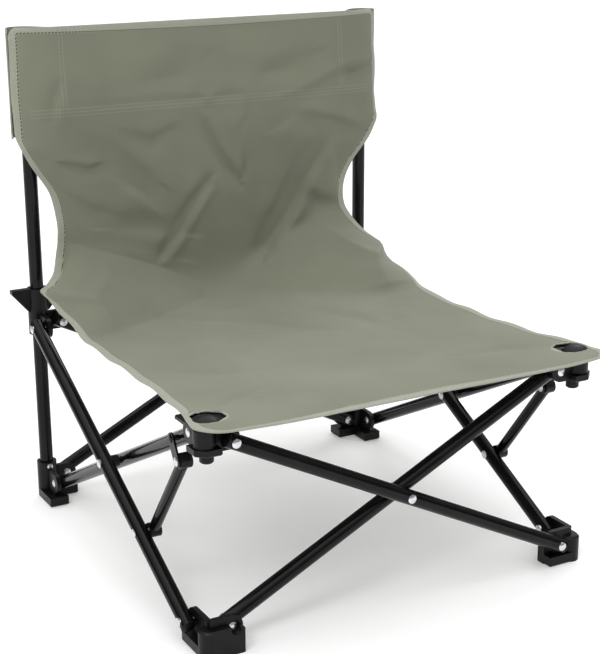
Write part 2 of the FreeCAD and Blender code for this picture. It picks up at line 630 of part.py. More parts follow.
def main():
    os.makedirs("parts", exist_ok=True)
    nodes = build()
    move = centre(nodes)
    print("nodes", len(nodes), "moved by", move)
    for name, shape in nodes.items():
        if not shape.isValid():
            print("not valid:", name)
        shape.exportStep("parts/" + name + ".step")


main()
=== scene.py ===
"""Folding camp chair: canvas sling, stitching and finishes on the chair's frame."""
import math
import bpy
import numpy as np
from bpy.props import FloatProperty, FloatVectorProperty, PointerProperty
from mathutils import Matrix, Vector


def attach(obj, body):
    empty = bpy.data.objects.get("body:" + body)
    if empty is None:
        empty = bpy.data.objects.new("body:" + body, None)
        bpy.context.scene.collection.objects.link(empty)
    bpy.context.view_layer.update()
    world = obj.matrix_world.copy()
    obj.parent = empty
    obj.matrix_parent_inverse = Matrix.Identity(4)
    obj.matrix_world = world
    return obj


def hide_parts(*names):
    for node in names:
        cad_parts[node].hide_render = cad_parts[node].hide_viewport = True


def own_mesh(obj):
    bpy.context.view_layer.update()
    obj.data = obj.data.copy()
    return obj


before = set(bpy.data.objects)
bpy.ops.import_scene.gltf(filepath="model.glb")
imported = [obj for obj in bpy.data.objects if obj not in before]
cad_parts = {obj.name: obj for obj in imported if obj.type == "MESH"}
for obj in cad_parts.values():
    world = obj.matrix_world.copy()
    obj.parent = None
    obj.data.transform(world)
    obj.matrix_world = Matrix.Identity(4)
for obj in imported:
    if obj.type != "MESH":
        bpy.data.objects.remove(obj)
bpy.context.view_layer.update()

bl_info = {
    "name": "Folding Camp Chair",
    "version": (1, 0, 0),
    "blender": (4, 5, 0),
    "location": "View3D > Sidebar > Camp Chair",
    "description": "Makes the canvas, finishes and studio of a low folding camp chair",
    "category": "Object",
}

# The sling's outline from the top of the back to the front of the seat, in millimetres.
# Each row: half width, then y and z at the side edge, then y and z in the middle, then
# how square the row is: a high power keeps it flat up to the edge.
SLING = np.array([
    (271, 262.0, 641, 250.0, 641, 14.0),
    (271, 262.0, 590, 246.5, 588, 14.0),
    (271, 260.0, 533, 242.5, 531, 14.0),
    (270, 254.0, 499, 240.5, 484, 12.0),
    (255, 244.0, 466, 239.5, 450, 4.0),
    (226, 242.0, 428, 238.5, 415, 3.0),
    (212, 240.0, 394, 238.0, 378, 3.0),
    (211, 238.5, 368, 237.0, 342, 3.0),
    (218, 237.0, 345, 233.0, 308, 3.5),
    (232, 238.0, 319, 220.0, 284, 4.5),
    (247, 244.0, 299, 202.0, 273, 5.0),
    (257, 251.0, 286, 178.0, 270, 5.0),
    (252, 222.0, 278, 148.0, 269, 4.0),
    (250, 165.0, 273, 110.0, 268, 3.0),
    (249, 60.0, 270, 30.0, 266, 2.5),
    (249, -60.0, 270, -70.0, 267, 2.5),
    (253, -150.0, 273, -152.0, 270, 2.5),
    (261, -217.0, 276, -217.0, 273, 2.5),
    (269, -262.0, 277, -262.0, 275, 2.5),
    (269, -290.0, 275, -290.0, 273, 2.5),
])
BACK_ROWS, REAR_ROWS, MIDDLE_ROWS, NOSE_ROWS = 124, 28, 70, 26
CREASE_STATION, SPLIT_STATION, NOSE_STATION = 9.0, 12.4, 17.0
INNER_COLUMNS = 119
TAPE_STEPS = np.array([0.0, 1.2, 3.5, 6.0, 8.5, 10.5, 12.0, 14.5])    # from the edge inwards, mm
POCKET_INNER, POCKET_FLOOR = 212.0, 497.0
PATCH_INNER = 214.0
SEAM_Z = 532.0
HOLE_AT = (242.0, -239.5)
HUB_AT = (248.0, -245.1)
HOLE_RADIUS, HOLE_BORE, HOLE_REACH = 19.5, 7.0, 22.3    # rim, ring opened to it, ring that stays
WASHER_BORE, WASHER_HALF = 17.3, (25.0, 23.0)
WASHER_STEPS = 96
# Section of the washer: share of the way from its bore to its rim, and height.
WASHER_PROFILE = ((0.0, 272.3), (0.0, 273.2), (0.1, 273.5), (0.35, 273.2), (0.7, 273.5),
                  (0.9, 274.0), (1.0, 273.6), (1.0, 272.6))
POCKET_TOP, POCKET_WIDTH, POCKET_DROP = 640.5, 75, 143

# Folds of the back as (x, z) points from one end to the other, half width, depth and lean.
BACK_FOLDS = (
    (((188, 466), (150, 420), (120, 372), (76, 314)), 13.0, 15.0, 1.1),
    (((196, 455), (205, 415), (204, 385)), 16.0, 5.0, -0.8),
    (((136, 400), (168, 380), (200, 372)), 14.0, 4.0, 0.9),
    (((-6, 420), (-30, 388), (-50, 358), (-78, 326)), 7.5, 10.0, 0.9),
    (((-150, 372), (-100, 365), (-52, 354)), 16.0, 4.0, -1.2),
    (((-6, 500), (10, 466), (26, 440), (42, 420)), 8.0, 4.5, 1.0),
    (((48, 455), (47, 436), (42, 418)), 6.0, 4.0, -0.8),
    (((-165, 492), (-125, 462), (-84, 432)), 15.0, 5.0, 0.9),
    (((-208, 466), (-180, 456), (-152, 461)), 7.0, 6.0, 1.0),
    (((-120, 500), (-90, 487), (-66, 498)), 10.0, 4.0, 1.0),
    (((-130, 432), (-105, 418), (-88, 398)), 10.0, 4.5, -1.0),
    (((112, 524), (160, 536), (205, 556), (250, 566)), 9.0, 7.0, 1.0),
    (((138, 504), (185, 490), (240, 474)), 11.0, 6.5, 1.0),
    (((98, 486), (116, 494), (140, 512)), 10.0, 3.5, -1.0),
    (((60, 520), (95, 570), (150, 585)), 22.0, 4.0, 1.0),
    (((-210, 566), (-216, 545), (-220, 526)), 7.0, 4.0, 1.0),
    (((-20, 590), (-90, 560), (-150, 548)), 26.0, 3.0, -0.8),
    (((-200, 420), (-180, 404), (-150, 396)), 12.0, 3.0, 0.8),
    (((-160, 541), (-80, 541), (0, 539), (48, 541)), 4.5, 2.6, 1.0),
    (((-190, 355), (-120, 344), (-60, 322)), 20.0, 3.5, -0.9),
)
# Soft wrinkles of the seat as (x, y) points, half width, depth and lean.
SEAT_FOLDS = (
    (((-150, 176), (-40, 100), (40, 20)), 14.0, 2.6, 1.0),
    (((-60, 60), (20, 10), (80, -30)), 11.0, 2.2, -1.0),
    (((60, 120), (110, 40), (130, -60)), 15.0, 2.4, 0.8),
    (((-200, -60), (-150, -90), (-90, -100)), 12.0, 2.2, 1.0),
    (((-226, -214), (-190, -190), (-150, -176)), 10.0, 2.2, 0.9),
    (((226, -214), (180, -190), (120, -182)), 12.0, 2.2, -0.9),
    (((180, 60), (150, 10), (140, -40)), 14.0, 2.2, 0.7),
)


# ---- the sling's surface ----

def through(stations, t):
    """Catmull-Rom curve: each station's tangent is half the chord of its two neighbours."""
    i = np.clip(np.floor(t).astype(int), 0, len(stations) - 2)
    f = (t - i)[:, None]
    padded = np.vstack([2 * stations[0] - stations[1], stations, 2 * stations[-1] - stations[-2]])
    a, b, c, d = padded[i], padded[i + 1], padded[i + 2], padded[i + 3]
    bend = a - 2.5 * b + 2 * c - d / 2
    twist = 1.5 * (b - c) + (d - a) / 2
    return b + f * ((c - a) / 2 + f * (bend + f * twist))


def row_stations():
    """Station number of every row: even in the back and the seat, close together at the front."""
    last = len(SLING) - 1
    nose = np.sin(np.linspace(0, math.pi / 2, NOSE_ROWS + 1)[1:]) ** 0.8
    return np.concatenate([
        [0.0, 0.015, 0.035, 0.06, 0.1, 0.16],
        np.linspace(0.23, CREASE_STATION, BACK_ROWS),
        np.linspace(CREASE_STATION, SPLIT_STATION, REAR_ROWS + 1)[1:],
        np.linspace(SPLIT_STATION, NOSE_STATION, MIDDLE_ROWS + 1)[1:],
        NOSE_STATION + (last - NOSE_STATION) * nose,
    ])


def fold_height(x, y, points, width, depth, lean):
    """Valley along a line of points: depth times a bell of the distance over width, fading at
    both ends, and leaned so that one flank stands up."""
    pts = np.array(points, float)
    spans = np.diff(pts, axis=0)
    lengths = np.hypot(*spans.T)
    before = np.concatenate([[0], np.cumsum(lengths)[:-1]])
    best = np.full(x.shape, 1e9)
    signed = np.zeros(x.shape)
    along = np.zeros(x.shape)
    for start, span, length, run in zip(pts, spans, lengths, before):
        dx, dy = x - start[0], y - start[1]
        f = np.clip((dx * span[0] + dy * span[1]) / length ** 2, 0, 1)
        gap = np.hypot(dx - f * span[0], dy - f * span[1])
        closer = gap < best
        side = np.sign(span[0] * dy - span[1] * dx)
        signed = np.where(closer, gap * side, signed)
        along = np.where(closer, run + f * length, along)
        best = np.minimum(best, gap)
    share = along / lengths.sum()
    fade = np.sin(math.pi * np.clip(0.08 + 0.84 * share, 0, 1)) ** 0.8
    r = signed / width
    bell = np.exp(-np.abs(r) ** 1.6)
    return 2.0 * depth * fade * bell * (lean * r - 0.5)


def ripple(x, y):
    """Shallow unevenness of loose cloth: a few crossed sine waves of different lengths."""
    return (1.1 * np.sin(x / 47 + 1.3) * np.cos(y / 39 + 0.4) + 0.8 * np.sin((x + y) / 31 + 2.1)
            * np.sin((x - 1.7 * y) / 53) + 0.35 * np.sin(x / 13 + y / 19) * np.cos(y / 15 - x / 27))


def normals_of(grid):
    """Unit normals of a grid of points, from the cross product of its two tangents."""
    across = np.gradient(grid, axis=1)
    down = np.gradient(grid, axis=0)
    normal = np.cross(down, across)
    return normal / np.maximum(np.linalg.norm(normal, axis=2, keepdims=True), 1e-9)


def filled_crease(x, y, z, fade):
    """Lift the corner between back and seat onto a slope.  The slope starts higher towards the
    sides.  A point inside the corner moves forwards and up by the same share of the slope's
    reach and height, with a soft start: half of d plus the root of d squared plus a small term."""
    rise = np.where(x < 0, 18 + 0.36 * -x, 18 + 0.46 * x)
    reach = 1.45 * rise
    ahead, above = 241.0 - y, z - 269.0
    short = 1.0 - above / rise - ahead / reach
    soft = np.where(x < 0, 0.02, 0.14)
    lift = (short + np.sqrt(short ** 2 + soft ** 2)) / 2 * fade
    lift = lift * np.clip((450 - z) / 60, 0, 1) * np.clip((y - 60) / 60, 0, 1)
    return y - lift * reach / 2, z + lift * rise / 2


def clear_of_rear_tubes(face):
    """Depth of the cloth with a soft upper limit, so that it hangs in front of the folded rear
    tubes: the limit less the log of one plus e to the room left, except in the post pockets."""
    x, y, z = np.abs(face[..., 0]), face[..., 1], face[..., 2]
    limit, softness = 244.0, 1.6
    held = limit - softness * np.log1p(np.exp(np.clip((limit - y) / softness, -30, 30)))
    share = np.maximum(np.clip((228 - x) / 16, 0, 1), np.clip((500 - z) / 14, 0, 1))
    share = share * np.clip((566 - z) / 20, 0, 1) * np.clip((z - 300) / 20, 0, 1)
    return y + (np.minimum(held, y) - y) * share


def sling_grid():
    """The sling's outer face.  A row's edge points keep fixed distances from the side edge, and
    its other points share what is left; y and z go from the middle's to the edge's as the
    distance from the middle, over the half width, to the row's power."""
    rows = through(SLING, row_stations())
    half, edge_y, edge_z, mid_y, mid_z, power = (rows[:, i:i + 1] for i in range(6))
    corner = 28.0
    past = np.clip(-262.0 - edge_y, 0, corner - 0.4)
    half = half - corner + np.sqrt(corner ** 2 - past ** 2)
    past = np.clip(edge_z - 629.0, 0, 11.6)
    half = half - 12.0 + np.sqrt(12.0 ** 2 - past ** 2)
    inner = np.linspace(-1, 1, INNER_COLUMNS)[1:-1]
    x = np.hstack([-(half - TAPE_STEPS), inner * (half - TAPE_STEPS[-1]),
                   (half - TAPE_STEPS)[:, ::-1]])
    share = np.abs(x / half) ** power
    y = mid_y + (edge_y - mid_y) * share
    z = mid_z + (edge_z - mid_z) * share
    x = x - (5.0 + 13.0 * np.clip(-x / half, 0, 1) ** 2) * np.exp(-((edge_z - 372) / 60) ** 2)
    y, z = filled_crease(x, y, z, 0.35 + 0.65 * np.clip((half - np.abs(x)) / 50, 0, 1))
    base = np.dstack([x, y, z])
    normal = normals_of(base)
    height = np.zeros(x.shape)
    on_back = np.clip((z - 292) / 30, 0, 1) * np.clip((half - np.abs(x)) / 14, 0, 1)
    for points, width, depth, lean in BACK_FOLDS:
        height += on_back * fold_height(x, z, points, width, depth, lean)
    on_seat = np.clip((292 - z) / 14, 0, 1) * np.clip((half - np.abs(x)) / 20, 0, 1)
    for points, width, depth, lean in SEAT_FOLDS:
        height += on_seat * fold_height(x, y, points, width, depth, lean)
    height += ripple(x, y + z) * (0.35 + 0.9 * on_back)
    seam = np.exp(-((z - SEAM_Z) / 6.0) ** 4) * 0.9
    pucker = 6.5 * np.exp(-((x + 3) / 9) ** 2 - ((z - SEAM_Z - 5) / 6) ** 2)
    height += (seam + pucker) * np.clip((half - np.abs(x)) / 14, 0, 1)
    edge_wave = 1.4 * np.sin(y / 14 + z / 17) * np.exp(-((half - np.abs(x)) / 16))
    height += edge_wave
    face = base + normal * height[..., None]
    face[..., 1] = clear_of_rear_tubes(face)
    return face, normals_of(face), z


def run_along(face, axis):
    """Length along the cloth from the first row or column, summed over the grid's steps."""
    steps = np.linalg.norm(np.diff(face, axis=axis), axis=2)
    start = np.zeros_like(np.take(steps, [0], axis=axis))
    return np.concatenate([start, np.cumsum(steps, axis=axis)], axis=axis)


def edge_distance(down, across):
    """Distance to the nearest bound edge: the top, the front and the two sides."""
    lengthwise = np.minimum(down, down[-1:] - down)
    return np.minimum(lengthwise, np.minimum(across, across[:, -1:] - across))


def cloth_thickness(edge):
    """Half thickness of the cloth: thicker under the tape, rounded off at the very edge."""
    tape = 1.0 / (1.0 + np.exp((edge - 11.2) / 0.35))
    roll = np.sqrt(np.clip(edge / 1.6, 0.12, 1.0))
    return 0.55 + tape * (0.75 * roll - 0.1)


# ---- meshes ----

def shell_mesh(name, outer, inner, keep, uv, marks):
    """Closed cloth between an outer and an inner grid: both faces where keep is true, and a wall
    along every edge that belongs to one kept face only."""
    rows, cols = outer.shape[:2]
    index = np.arange(rows * cols).reshape(rows, cols)
    quads = np.stack([index[:-1, :-1], index[1:, :-1], index[1:, 1:], index[:-1, 1:]], -1)[keep]
    lines = np.concatenate([quads[:, [i, (i + 1) % 4]] for i in range(4)])
    code = np.sort(lines, axis=1) @ np.array([rows * cols, 1])
    _, place, count = np.unique(code, return_inverse=True, return_counts=True)
    rim = lines[count[place] == 1]
    shift = rows * cols
    walls = np.stack([rim[:, 1], rim[:, 0], rim[:, 0] + shift, rim[:, 1] + shift], -1)
    faces = np.concatenate([quads, quads[:, ::-1] + shift, walls])
    used = np.unique(faces)
    number = np.zeros(2 * shift, int)
    number[used] = np.arange(len(used))
    points = np.concatenate([outer.reshape(-1, 3), inner.reshape(-1, 3)])[used] / 1000
    mesh = bpy.data.meshes.new(name)
    mesh.from_pydata(points.tolist(), [], number[faces].tolist())
    layer = mesh.uv_layers.new(name="cloth")
    flat = np.concatenate([uv.reshape(-1, 2)] * 2)[faces.reshape(-1)] / 1000
    layer.data.foreach_set("uv", flat.astype(np.float32).ravel())
    for mark_name, values in marks.items():
        mark = mesh.attributes.new(mark_name, "FLOAT", "POINT")
        mark.data.foreach_set("value", np.concatenate([values.ravel()] * 2)[used].astype(np.float32))
    mesh.polygons.foreach_set("use_smooth", np.ones(len(faces), bool))
    mesh.update()
    rim_points = np.zeros(2 * shift, bool)
    rim_points[rim.ravel()] = True
    rim_points[rim.ravel() + shift] = True
    ends = np.zeros(2 * len(mesh.edges), np.int32)
    mesh.edges.foreach_get("vertices", ends)
    on_rim = rim_points[used][ends.reshape(-1, 2)].all(axis=1)
    sharp = mesh.attributes.new("sharp_edge", "BOOLEAN", "EDGE")
    sharp.data.foreach_set("value", on_rim)
    piece = bpy.data.objects.new(name, mesh)
    bpy.context.scene.collection.objects.link(piece)
    return piece


def pocket_back(hand, heights):
    """Rear layer of a post pocket: from its inner stitching round behind the post to the edge."""
    t = np.linspace(0, 1, 25)
    line = np.array([(213, 252.6), (220, 256), (231, 269), (242, 279), (254, 281.5), (265, 277),
                     (271, 269), (271.5, 263)], float)
    path = through(line, t * (len(line) - 1))
    z = np.linspace(heights[0], heights[1], 40)[:, None]
    swell = 1.0 + 0.6 * np.sin(z / 23 + hand) * np.sin(math.pi * t)
    x = hand * np.broadcast_to(path[:, 0], swell.shape)
    y = path[:, 1] + swell - 1.0
    return np.dstack([x, y, np.broadcast_to(z, swell.shape)])


def ring_mesh(name, loops):
    """Closed ring: each loop of points is joined to the next, and the last to the first."""
    count, length = loops.shape[:2]
    index = np.arange(count * length).reshape(count, length)
    across, along = np.roll(index, -1, axis=0), np.roll(index, -1, axis=1)
    both = np.roll(across, -1, axis=1)
    faces = np.stack([index, along, both, across], -1).reshape(-1, 4)
    mesh = bpy.data.meshes.new(name)
    mesh.from_pydata((loops.reshape(-1, 3) / 1000).tolist(), [], faces.tolist())
    mesh.polygons.foreach_set("use_smooth", np.ones(len(faces), bool))
    mesh.update()
    piece = bpy.data.objects.new(name, mesh)
    bpy.context.scene.collection.objects.link(piece)
    return piece


def washer_loops(hand):
    """Loops of the moulded washer under a corner hole: a circle about the cap inside, an oval
    about the hole outside, and a low rounded lip between them."""
    angle = np.linspace(0, 2 * math.pi, WASHER_STEPS, endpoint=False)
    cosine, sine = np.cos(angle), np.sin(angle)
    inner = np.stack([HUB_AT[0] + WASHER_BORE * cosine, HUB_AT[1] + WASHER_BORE * sine], -1)
    outer = np.stack([HOLE_AT[0] + WASHER_HALF[0] * cosine,
                      HOLE_AT[1] + WASHER_HALF[1] * sine], -1)
    loops = [np.column_stack([inner + (outer - inner) * share, np.full(WASHER_STEPS, z)])
             for share, z in WASHER_PROFILE]
    if hand > 0:
        return np.array(loops)[::-1]
    return np.array(loops)[:, ::-1][::-1] * (-1, 1, 1)


# ---- materials ----

def colour(value):
    return (*value, 1.0)


def material(name):
    """Empty principled material and its node tools."""
    made = bpy.data.materials.new(name)
    made.use_nodes = True
    nodes, links = made.node_tree.nodes, made.node_tree.links
    return made, nodes, links, nodes["Principled BSDF"]


def maths(nodes, links, kind, first, second=None, third=None):
    node = nodes.new("ShaderNodeMath")
    node.operation = kind
    for slot, value in zip(node.inputs, (first, second, third)):
        if value is None:
            continue
        if isinstance(value, (int, float)):
            slot.default_value = value
        else:
            links.new(value, slot)
    return node.outputs[0]


def ramp(nodes, links, source, stops):
    node = nodes.new("ShaderNodeValToRGB")
    for element, (position, value) in zip(node.color_ramp.elements, (stops[0], stops[-1])):
        element.position, element.color = position, colour(value)
    for position, value in stops[1:-1]:
        node.color_ramp.elements.new(position).color = colour(value)
    links.new(source, node.inputs[0])
    return node.outputs[0]


def noise(nodes, links, coordinates, scale, detail=3.0, roughness=0.5):
    node = nodes.new("ShaderNodeTexNoise")
    node.inputs["Scale"].default_value = scale
    node.inputs["Detail"].default_value = detail
    node.inputs["Roughness"].default_value = roughness
    links.new(coordinates, node.inputs["Vector"])
    return node.outputs["Fac"]


def mix(nodes, links, factor, first, second):
    node = nodes.new("ShaderNodeMix")
    node.data_type = "RGBA"
    links.new(factor, node.inputs["Factor"])
    for slot, value in ((node.inputs[6], first), (node.inputs[7], second)):
        if isinstance(value, bpy.types.NodeSocket):
            links.new(value, slot)
        else:
            slot.default_value = colour(value)
    return node.outputs[2]


def bump(nodes, links, height, strength, distance, shader, under=None):
    node = nodes.new("ShaderNodeBump")
    node.inputs["Strength"].default_value = strength
    node.inputs["Distance"].default_value = distance
    links.new(height, node.inputs["Height"])
    if under is not None:
        links.new(under, node.inputs["Normal"])
    links.new(node.outputs[0], shader.inputs["Normal"])
    return node.outputs[0]


def line_at(nodes, links, source, place, half_width):
    """1 within half_width of the place where source has that value, else 0."""
    offset = maths(nodes, links, "SUBTRACT", source, place)
    return maths(nodes, links, "LESS_THAN", maths(nodes, links, "ABSOLUTE", offset), half_width)


def seam_lines(nodes, links):
    """Three rows of stitches across the back, and two down beside each post above them."""
    seam = nodes.new("ShaderNodeAttribute")
    seam.attribute_name = "seam_mm"
    side = nodes.new("ShaderNodeAttribute")
    side.attribute_name = "side_mm"
    height, out = seam.outputs["Fac"], side.outputs["Fac"]
    inside = maths(nodes, links, "LESS_THAN", out, 252.0)
    above = maths(nodes, links, "GREATER_THAN", height, 4.0)
    total = None
    for place in (-4.5, 0.0, 4.5):
        row = maths(nodes, links, "MULTIPLY", line_at(nodes, links, height, place, 0.6), inside)
        total = row if total is None else maths(nodes, links, "MAXIMUM", total, row)
    for place in (204.0, 209.0):
        column = maths(nodes, links, "MULTIPLY", line_at(nodes, links, out, place, 0.6), above)
        total = maths(nodes, links, "MAXIMUM", total, column)
    return total


def canvas_material(settings):
    """Plain-woven polyester canvas: crossed threads, slow shade changes, tape along the edges
    and dashed stitching just inside it."""
    made, nodes, links, shader = material("canvas_olive")
    cloth = nodes.new("ShaderNodeUVMap")
    cloth.uv_map = "cloth"
    place = nodes.new("ShaderNodeSeparateXYZ")
    links.new(cloth.outputs[0], place.inputs[0])
    turn = 2 * math.pi / settings.thread_pitch
    warp = maths(nodes, links, "SINE", maths(nodes, links, "MULTIPLY", place.outputs[0], turn))
    weft = maths(nodes, links, "SINE", maths(nodes, links, "MULTIPLY", place.outputs[1], turn))
    weave = maths(nodes, links, "MULTIPLY", warp, weft)
    local = nodes.new("ShaderNodeTexCoord").outputs["Object"]
    broad = noise(nodes, links, local, 7.0, 3.0)
    fibre = noise(nodes, links, local, 420.0, 2.0)
    dark, light = (tuple(c * f for c in settings.canvas_colour) for f in (0.86, 1.08))
    body = ramp(nodes, links, broad, ((0.3, dark), (0.7, light)))
    worn = mix(nodes, links, maths(nodes, links, "MULTIPLY", fibre, 0.35), body,
               tuple(c * 1.18 for c in settings.canvas_colour))
    edge = nodes.new("ShaderNodeAttribute")
    edge.attribute_name = "edge_mm"
    distance = edge.outputs["Fac"]
    taped = maths(nodes, links, "LESS_THAN", distance, 11.3)
    tape_light = tuple(c * 1.12 for c in settings.tape_colour)
    tape = ramp(nodes, links, fibre, ((0.35, settings.tape_colour), (0.65, tape_light)))
    with_tape = mix(nodes, links, taped, worn, tape)
    near = maths(nodes, links, "LESS_THAN", maths(nodes, links, "ABSOLUTE", maths(
        nodes, links, "SUBTRACT", distance, 10.2)), 0.75)
    dash = maths(nodes, links, "GREATER_THAN", maths(nodes, links, "SINE", maths(
        nodes, links, "MULTIPLY", maths(nodes, links, "ADD", place.outputs[0], place.outputs[1]),
        2 * math.pi / settings.stitch_length)), -0.45)
    thread = maths(nodes, links, "MULTIPLY", near, dash)
    stitched = mix(nodes, links, thread, with_tape, settings.thread_colour)
    seams = seam_lines(nodes, links)
    dashes = maths(nodes, links, "MULTIPLY", seams, dash)
    links.new(mix(nodes, links, dashes, stitched, settings.seam_colour),
              shader.inputs["Base Color"])
    rough = maths(nodes, links, "MULTIPLY_ADD", fibre, 0.18, 0.68)
    links.new(rough, shader.inputs["Roughness"])
    shader.inputs["Specular IOR Level"].default_value = 0.28
    shader.inputs["Sheen Weight"].default_value = 0.22
    shader.inputs["Sheen Roughness"].default_value = 0.45
    threads = maths(nodes, links, "MULTIPLY_ADD", fibre, 0.8, weave)
    threads = maths(nodes, links, "MULTIPLY_ADD", seams, -3.0, threads)
    first = bump(nodes, links, threads, 0.35, 0.0003, shader)
    bump(nodes, links, noise(nodes, links, local, 38.0, 4.0), 0.22, 0.004, shader, first)
    return made


def powder_coat_material(settings):
    """Black powder coat on tube: orange-peel bumps, faint rubbed patches and a clear gloss."""
    made, nodes, links, shader = material("powder_coat_black")
    local = nodes.new("ShaderNodeTexCoord").outputs["Object"]
    rubbed = noise(nodes, links, local, 26.0, 5.0, 0.65)
    rubbed_tone = tuple(c * 1.9 + 0.004 for c in settings.steel_colour)
    links.new(ramp(nodes, links, rubbed, ((0.45, settings.steel_colour), (0.8, rubbed_tone))),
              shader.inputs["Base Color"])
    links.new(maths(nodes, links, "MULTIPLY_ADD", rubbed, 0.12, 0.1), shader.inputs["Roughness"])
    shader.inputs["Specular IOR Level"].default_value = 0.12
    shader.inputs["Coat Weight"].default_value = 0.14
    shader.inputs["Coat Roughness"].default_value = 0.05
    bump(nodes, links, noise(nodes, links, local, 520.0, 2.0), 0.12, 0.0003, shader)
    return made


def plastic_material(settings):
    """Black moulded nylon: fine spark-eroded grain, slightly uneven gloss."""
    made, nodes, links, shader = material("moulded_plastic_black")
    local = nodes.new("ShaderNodeTexCoord").outputs["Object"]
    cloudy = noise(nodes, links, local, 60.0, 4.0)
    pale = tuple(c * 1.7 + 0.003 for c in settings.plastic_colour)
    links.new(ramp(nodes, links, cloudy, ((0.35, settings.plastic_colour), (0.75, pale))),
              shader.inputs["Base Color"])
    links.new(maths(nodes, links, "MULTIPLY_ADD", cloudy, 0.25, 0.26), shader.inputs["Roughness"])
    shader.inputs["Specular IOR Level"].default_value = 0.2
    bump(nodes, links, noise(nodes, links, local, 1400.0, 2.0), 0.2, 0.0002, shader)
    return made


def rivet_material(settings):
    """Bright plated steel with fine turned scratches."""
    made, nodes, links, shader = material("rivet_steel")
    local = nodes.new("ShaderNodeTexCoord").outputs["Object"]
    scratch = noise(nodes, links, local, 700.0, 4.0)
    dark = tuple(c * 0.7 for c in settings.rivet_colour)
    links.new(ramp(nodes, links, scratch, ((0.3, dark), (0.6, settings.rivet_colour))),
              shader.inputs["Base Color"])
    shader.inputs["Metallic"].default_value = 1.0
    links.new(maths(nodes, links, "MULTIPLY_ADD", scratch, 0.2, 0.2), shader.inputs["Roughness"])
    bump(nodes, links, scratch, 0.1, 0.0002, shader)
    return made


def floor_material(settings):
    made, nodes, links, shader = material("studio_floor")
    local = nodes.new("ShaderNodeTexCoord").outputs["Object"]
    shade = tuple(c * 0.985 for c in settings.floor_colour)
    broad = noise(nodes, links, local, 3.0)
    links.new(ramp(nodes, links, broad, ((0.3, shade), (0.7, settings.floor_colour))),
              shader.inputs["Base Color"])
    shader.inputs["Roughness"].default_value = 0.9
    shader.inputs["Specular IOR Level"].default_value = 0.1
    shader.inputs["Emission Color"].default_value = (1, 1, 1, 1)
    shader.inputs["Emission Strength"].default_value = 0.22
    return made


FRAME_FINISH = {
    "tube_": powder_coat_material,
    "post_left": powder_coat_material, "post_right": powder_coat_material,
    "brace_left": powder_coat_material, "brace_right": powder_coat_material,
    "latch_plate_": powder_coat_material,
    "rivets_": rivet_material, "post_rivet_": rivet_material, "brace_pins_": rivet_material,
    "hub_": plastic_material, "foot_": plastic_material, "slider_": plastic_material,
    "plugs_": plastic_material, "spacer_": plastic_material, "brace_eyes_": plastic_material,
    "post_cap_": plastic_material,
}


# ---- settings ----

class ChairSettings(bpy.types.PropertyGroup):
    canvas_colour: FloatVectorProperty(
        name="Canvas", description="Colour of the sling", subtype="COLOR", size=3, min=0, max=1,
        default=(0.188, 0.199, 0.144))
    tape_colour: FloatVectorProperty(
        name="Edge tape", description="Colour of the binding", subtype="COLOR", size=3, min=0, max=1,
        default=(0.29, 0.305, 0.245))
    thread_colour: FloatVectorProperty(
        name="Tape stitching", description="Colour of the stitches in the tape's inner edge",
        subtype="COLOR", size=3, min=0, max=1, default=(0.05, 0.06, 0.035))
    seam_colour: FloatVectorProperty(
        name="Seam stitching", description="Colour of the stitches across the back",
        subtype="COLOR", size=3, min=0, max=1, default=(0.25, 0.262, 0.198))
    steel_colour: FloatVectorProperty(
        name="Powder coat", description="Colour of the tubes", subtype="COLOR", size=3, min=0, max=1,
        default=(0.0022, 0.0024, 0.003))
    plastic_colour: FloatVectorProperty(
        name="Plastic", description="Colour of the mouldings", subtype="COLOR", size=3, min=0, max=1,
        default=(0.0028, 0.0028, 0.0032))
    rivet_colour: FloatVectorProperty(
        name="Rivets", description="Colour of the rivets", subtype="COLOR", size=3, min=0, max=1,
        default=(0.75, 0.76, 0.78))
    floor_colour: FloatVectorProperty(
        name="Floor", description="Colour of the studio floor", subtype="COLOR", size=3, min=0, max=1,
        default=(0.84, 0.84, 0.84))
    thread_pitch: FloatProperty(
        name="Thread pitch", description="Distance between threads of the canvas", default=0.0011,
        min=0.0003, max=0.01, unit="LENGTH", precision=4)
    stitch_length: FloatProperty(
        name="Stitch length", description="Length of one stitch and its gap", default=0.0045,
        min=0.001, max=0.02, unit="LENGTH", precision=4)


def settings():
    return bpy.context.scene.camp_chair


def find_or_make(maker):
    """One material per maker, kept on the maker's name."""
    name = maker.__name__
    for made in bpy.data.materials:
        if made.get("made_by") == name:
            return made
    made = maker(settings())
    made["made_by"] = name
    return made


def finish_sheet(piece, body, nodes, flat, area, anchor=None, keep=None, axis=(1, 0, 0)):
    piece.data.materials.append(find_or_make(canvas_material))
    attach(piece, body)
    if nodes:
        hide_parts(*nodes)
    if keep is not None:
        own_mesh(piece)


def sling_shell():
    """Outer and inner faces of the whole sling, its cloth coordinates and its marks."""
    face, normal, base_z = sling_grid()
    down, across = run_along(face, 0), run_along(face, 1)
    edge = edge_distance(down, across)
    half = cloth_thickness(edge)[..., None]
    uv = np.dstack([across - across[:, face.shape[1] // 2][:, None], down])
    marks = {"edge_mm": edge, "seam_mm": base_z - SEAM_Z, "side_mm": np.abs(face[..., 0])}
    return face + normal * half, face - normal * half, uv, marks, base_z


def face_mask(rows, cols, first, last):
    keep = np.zeros((rows - 1, cols - 1), bool)
    keep[first:last] = True
    return keep


def cell(values):
    """Mean of each grid cell's four corners."""
    return (values[:-1, :-1] + values[1:, :-1] + values[1:, 1:] + values[:-1, 1:]) / 4


